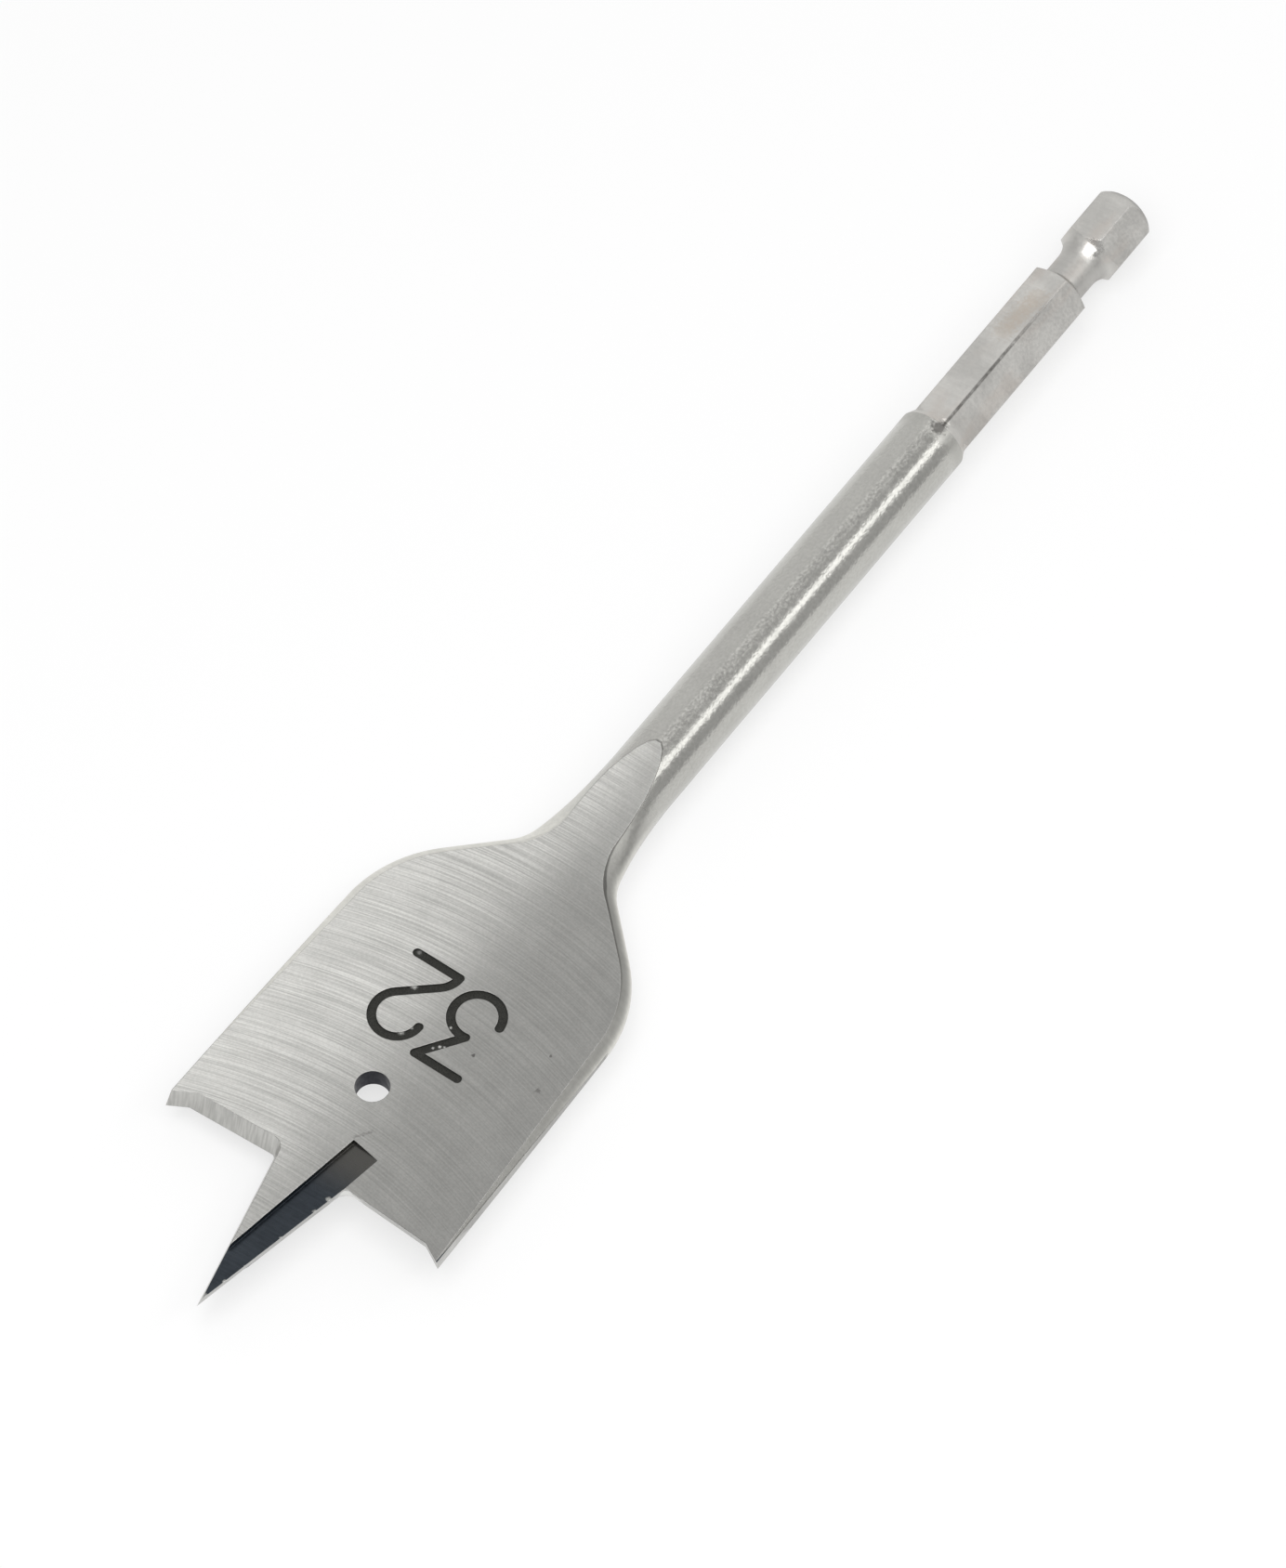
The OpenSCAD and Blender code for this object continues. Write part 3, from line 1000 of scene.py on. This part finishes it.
LIP_MARKS = (
    # A large near-white patch on the lip by the point's right edge.
    Mark((-135.4, -4.5, -0.6), 1.6, LIGHT_SPECK, 0.9),
    Mark((-136.1, 7.8, 0.3), 0.3, DARK_SPECK_AND_SHADE, 0.6),
    Mark((-135.6, 5.2, 0.2), 0.35, DARK_SPECK_AND_SHADE, 0.6),
)


class Zone(Enum):
    """The surfaces of the bit, each with its finish. The order is that of the material slots."""

    FORGED = ForgedSkin(
        "forged_skin", (0.50, 0.495, 0.467, 1.0), roughness=0.21, rough_spread=0.06,
        line_width=0.26, line_length=0.4, line_depth=0.0022, line_tone=0.045,
        grit_depth=3.4, grit_tone=0.02, cloud_size=5.0, cloud_tone=0.03,
        edge_radius=0.25, edge_gain=2.5, edge_colour=(0.1, 0.098, 0.09, 1.0), marks=(POCKET_SHADE,))
    FACE = BrushedFace(
        "brushed_face", (0.463, 0.46, 0.441, 1.0), roughness=0.31, rough_spread=0.02, anisotropy=1.0,
        line_width=0.15, line_length=14.0, line_depth=0.003, line_tone=0.22,
        grit_depth=0.0, grit_tone=0.045, cloud_size=3.2, cloud_tone=0.03,
        edge_radius=0.1, edge_gain=1.2, edge_colour=(0.16, 0.158, 0.15, 1.0), marks=FACE_MARKS)
    LIP = GroundLip(
        "ground_lip", (0.47, 0.467, 0.447, 1.0), roughness=0.36,
        line_width=0.22, line_length=3.0, line_depth=0.006, line_tone=0.14, marks=LIP_MARKS)
    SIDE = Steel(
        "ground_side", (0.43, 0.427, 0.41, 1.0), roughness=0.5,
        line_width=0.3, line_length=2.0, line_depth=0.005, line_tone=0.06)
    HOLLOW = DarkSteel(
        "dark_hollow", (0.048, 0.056, 0.066, 1.0), roughness=0.30,
        line_width=0.25, line_length=3.0, line_depth=0.004, line_tone=0.12,
        edge_radius=0.08, edge_gain=0.0, marks=CHIPS)
    HEX = WarmShank(
        "warm_hexagon", (0.60, 0.59, 0.565, 1.0), roughness=0.5,
        line_width=0.3, line_length=2.0, line_depth=0.005, line_tone=0.03,
        cloud_size=4.0, edge_radius=0.2, edge_gain=0.0, marks=HEX_MARKS)
    # The wire hole's wall is painted near black: painted shade inside the hole.
    HOLE = Steel(
        "shaded_hole_wall", (0.025, 0.026, 0.033, 1.0), roughness=0.42,
        line_width=0.25, line_length=2.0, line_depth=0.006, line_tone=0.2,
        edge_radius=0.05, edge_gain=0.0)
    NUMBER = NumberInk(
        "number_ink", (0.022, 0.022, 0.019, 1.0), wall_shade_colour=(0.004, 0.004, 0.004, 1.0),
        fleck=(0.55, 0.54, 0.50, 1.0), roughness=0.6, marks=BURRS)


# The bit


@dataclass
class SpadeBit:
    """The one forged and ground piece, in metres in the frame of the part.

    The ends of the lip, hollow, face, blade and stamp are measured from the tip.
    """

    node: str = "spade_bit"
    body: str = "root"
    steel_slot: str = "steel"
    merge_gap: float = 0.002 * MM
    smooth_angle: float = math.radians(32)
    tip_x: float = cad_low.x
    half_width: float = cad_high.y
    half_thickness: float = HALF_BLADE * MM
    hole_radius: float = MOUNTS["wire_hole"]["dims"]["r_mm"] * MM
    hole_x: float = MOUNTS["wire_hole"]["pos_m"][0]
    hole_y: float = MOUNTS["wire_hole"]["pos_m"][1]
    hole_slack: float = 1.02
    shoulder_reach: float = 0.7 * MM
    hex_from: float = -MOUNTS["hex_shank"]["dims"]["length_mm"] * MM - shoulder_reach
    lip_end: float = 21.5 * MM
    hollow_end: float = 23.0 * MM
    hollow_floor: float = 0.65 * MM
    face_end: float = 73.6 * MM
    lean_limit: float = 0.02
    blade_end: float = 44.0 * MM
    side_share: float = 0.95
    stamp_from: float = 31.5 * MM
    stamp_to: float = 43.4 * MM
    stamp_half: float = 7.5 * MM
    stamp_skin: float = 0.01 * MM
    stamp_floor: float = 0.165 * MM
    facing_limit: float = 0.9

    def build(self) -> bpy.types.Object:
        """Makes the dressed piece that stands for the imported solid.

        Returns:
            The finished object.
        """
        bpy.ops.object.select_all(action="DESELECT")
        solid = frame["nodes"][self.node]
        piece = bpy.data.objects.new("spade_bit_steel", solid.data.copy())
        bpy.context.scene.collection.objects.link(piece)
        piece.select_set(True)
        bpy.context.view_layer.objects.active = piece
        self.merge(piece)
        self.paint_zones(piece)
        self.mark_borders(piece)
        bpy.ops.object.shade_smooth_by_angle(angle=self.smooth_angle, keep_sharp_edges=True)
        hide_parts(self.node)
        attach(piece, self.body)
        return piece

    def merge(self, piece: bpy.types.Object) -> None:
        """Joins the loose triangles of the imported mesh.

        Args:
            piece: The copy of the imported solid, which is active.
        """
        piece.data.materials.clear()
        bpy.ops.object.mode_set(mode="EDIT")
        bpy.ops.mesh.select_all(action="SELECT")
        bpy.ops.mesh.customdata_custom_splitnormals_clear()
        bpy.ops.mesh.remove_doubles(threshold=self.merge_gap)
        bpy.ops.object.mode_set(mode="OBJECT")

    def paint_zones(self, piece: bpy.types.Object) -> None:
        """Gives each face the finish of the zone that it lies in.

        Args:
            piece: The merged copy.
        """
        zones = list(Zone)
        for zone in zones:
            piece.data.materials.append(zone.value.material())
        for face in piece.data.polygons:
            corners = [piece.data.vertices[index].co for index in face.vertices]
            face.material_index = zones.index(self.zone_of(face.center, face.normal, corners))

    def zone_of(self, centre: Vector, normal: Vector, corners: list) -> Zone:
        """Tells which surface of the bit a face belongs to.

        Args:
            centre: The face's middle.
            normal: The way it faces.
            corners: The places of its corners.

        Returns:
            The zone.
        """
        along = centre.x - self.tip_x
        flat = abs(normal.z) > self.facing_limit
        from_hole = math.hypot(centre.x - self.hole_x, centre.y - self.hole_y)
        lowest = min(corner.z for corner in corners)
        highest = max(corner.z for corner in corners)
        if from_hole < self.hole_slack * self.hole_radius and not flat:
            return Zone.HOLE
        if centre.x > self.hex_from:
            return Zone.HEX
        stamped = self.stamp_from < along < self.stamp_to and abs(centre.y) < self.stamp_half
        if stamped and self.stamp_skin < self.half_thickness - centre.z < self.stamp_floor:
            return Zone.NUMBER
        if flat and abs(normal.y) < self.lean_limit and along < self.face_end:
            return Zone.FACE
        if along < self.hollow_end and (lowest > self.hollow_floor or highest < -self.hollow_floor):
            return Zone.HOLLOW
        if along < self.lip_end:
            return Zone.LIP
        at_side = abs(centre.y) > self.side_share * self.half_width
        if along < self.blade_end and at_side and abs(normal.y) > self.facing_limit:
            return Zone.SIDE
        return Zone.FORGED

    def mark_borders(self, piece: bpy.types.Object) -> None:
        """Keeps the border of every zone crisp.

        Args:
            piece: The painted copy, which is active.
        """
        bpy.ops.object.mode_set(mode="EDIT")
        for index in range(len(piece.data.materials)):
            bpy.ops.mesh.select_mode(type="FACE")
            bpy.ops.mesh.select_all(action="DESELECT")
            piece.active_material_index = index
            bpy.ops.object.material_slot_select()
            bpy.ops.mesh.region_to_loop()
            bpy.ops.mesh.mark_sharp()
        bpy.ops.mesh.select_mode(type="FACE")
        bpy.ops.mesh.select_all(action="DESELECT")
        bpy.ops.object.mode_set(mode="OBJECT")


# The studio


@dataclass
class SoftLamp:
    """One area lamp that shows in the steel and not to the camera.

    It hangs off its aim, along its way and as far as its reach.
    Its power follows from its area and its glow.
    """

    name: str
    aim: Vector
    way: Vector
    reach: float
    width: float
    length: float
    glow: float
    watts_per_area: float = 4.0

    def build(self) -> bpy.types.Object:
        """Makes the lamp. Its long side lies along the bit as far as its aim allows.

        Returns:
            The lamp.
        """
        light = bpy.data.lights.new(self.name, "AREA")
        light.shape = "RECTANGLE"
        light.size = self.length
        light.size_y = self.width
        light.energy = self.watts_per_area * self.width * self.length * self.glow
        lamp = bpy.data.objects.new(self.name, light)
        bpy.context.scene.collection.objects.link(lamp)
        back = self.way.normalized()
        side = (Vector((1, 0, 0)) - back * back.x).normalized()
        turn = Matrix((side, back.cross(side), back)).transposed()
        lamp.matrix_world = Matrix.Translation(self.aim + self.reach * self.way) @ turn.to_4x4()
        lamp.visible_camera = False
        return lamp


@dataclass
class Studio:
    """A pale floor, soft light from above and one side, and the camera of the picture."""

    floor_height: float = cad_low.z
    floor_side: float = 6.0
    floor_colour: Colour = (0.3, 0.3, 0.3, 1.0)
    floor_patch: Colour = (0.294, 0.294, 0.294, 1.0)
    floor_patch_scale: float = 0.01
    floor_patch_detail: float = 2.0
    floor_glow: float = 0.65
    room_light: float = 0.84
    room_shade: float = 0.54
    room_shade_to: float = 0.32
    room_light_from: float = 0.62
    room_far_side: Vector = Vector((0.8, 0.6, 0.0))
    lamps: tuple = (
        SoftLamp("strip_lamp", aim=Vector((-56 * MM, 0, 0)), way=Vector((0.42, -0.59, 0.688)), reach=0.4,
                 width=0.1, length=0.6, glow=1.26),
        SoftLamp("soft_box", aim=Vector((-118 * MM, 0, 0)), way=Vector((-0.186, -0.114, 0.976)), reach=0.5,
                 width=0.456, length=0.556, glow=1.75),
    )
    target: Vector = Vector((-76.8 * MM, 0.0, 0.0))
    azimuth: float = math.radians(-52.928)
    elevation: float = math.radians(58.008)
    roll: float = math.radians(-1.3815)
    distance: float = 1.2062
    lens: float = 287.05
    offset_right: float = -2.92 * MM
    offset_up: float = -3.83 * MM

    def build(self) -> None:
        """Sets the whole studio."""
        bpy.context.scene.view_settings.view_transform = "Standard"
        self.lay_floor()
        self.light_room()
        for lamp in self.lamps:
            lamp.build()
        self.set_camera()

    def lay_floor(self) -> bpy.types.Object:
        """Lays the floor that the bit rests on.

        Returns:
            The floor.
        """
        bpy.ops.object.select_all(action="DESELECT")
        bpy.ops.mesh.primitive_plane_add(size=self.floor_side, location=(0, 0, self.floor_height))
        floor = bpy.context.object
        floor.name = "floor"
        material, sheet = new_material("pale_floor", self.floor_colour)
        cloud = sheet.noise(sheet.place_mm(), self.floor_patch_scale, self.floor_patch_detail)
        tone = sheet.mix(cloud, self.floor_colour, self.floor_patch)
        matt = sheet.add("ShaderNodeBsdfDiffuse", {"Color": tone})
        path = sheet.add("ShaderNodeLightPath").outputs
        seen = sheet.math("MAXIMUM", path["Is Camera Ray"], path["Is Glossy Ray"])
        seen = sheet.math("MAXIMUM", seen, path["Is Transmission Ray"])
        glow = sheet.add("ShaderNodeEmission", {"Strength": sheet.math("MULTIPLY", seen, self.floor_glow)})
        both = sheet.add("ShaderNodeAddShader", {0: matt.outputs[0], 1: glow.outputs[0]})
        sheet.add("ShaderNodeOutputMaterial", {"Surface": both.outputs[0]})
        floor.data.materials.append(material)
        return floor

    def light_room(self) -> None:
        """Fills the room with soft light that is brightest on the side away from the camera."""
        world = bpy.data.worlds.new("soft_room")
        bpy.context.scene.world = world
        world.use_nodes = True
        world.node_tree.nodes.clear()
        sheet = NodeSheet(world.node_tree)
        way = sheet.add("ShaderNodeTexCoord").outputs["Generated"]
        level = sheet.span(sheet.measure("DOT_PRODUCT", way, self.room_far_side),
                           self.room_shade_to, self.room_light_from, self.room_shade, self.room_light)
        seen = sheet.add("ShaderNodeLightPath").outputs["Is Camera Ray"]
        strength = sheet.math("MAXIMUM", level, seen)
        back = sheet.add("ShaderNodeBackground", {"Color": WHITE, "Strength": strength})
        sheet.add("ShaderNodeOutputWorld", {"Surface": back.outputs[0]})

    def set_camera(self) -> bpy.types.Object:
        """Stands the camera where the picture was taken from.

        Returns:
            The camera.
        """
        flat_back = Vector((math.sin(self.azimuth), -math.cos(self.azimuth), 0))
        back = math.cos(self.elevation) * flat_back + Vector((0, 0, math.sin(self.elevation)))
        flat_right = Vector((math.cos(self.azimuth), math.sin(self.azimuth), 0))
        flat_up = back.cross(flat_right)
        right = math.cos(self.roll) * flat_right + math.sin(self.roll) * flat_up
        up = back.cross(right)
        eye = self.target + self.distance * back + self.offset_right * right + self.offset_up * up
        camera_data = bpy.data.cameras.new("camera")
        camera_data.lens = self.lens
        camera = bpy.data.objects.new("camera", camera_data)
        bpy.context.scene.collection.objects.link(camera)
        camera.matrix_world = Matrix.Translation(eye) @ Matrix((right, up, back)).transposed().to_4x4()
        bpy.context.scene.camera = camera
        return camera


def main() -> None:
    """Builds the bit and the studio in order."""
    logging.basicConfig(level=logging.INFO)
    piece = SpadeBit().build()
    log.info("%s: %d faces", piece.name, len(piece.data.polygons))
    Studio().build()
    log.info("studio set")


if __name__ == "__main__":
    main()
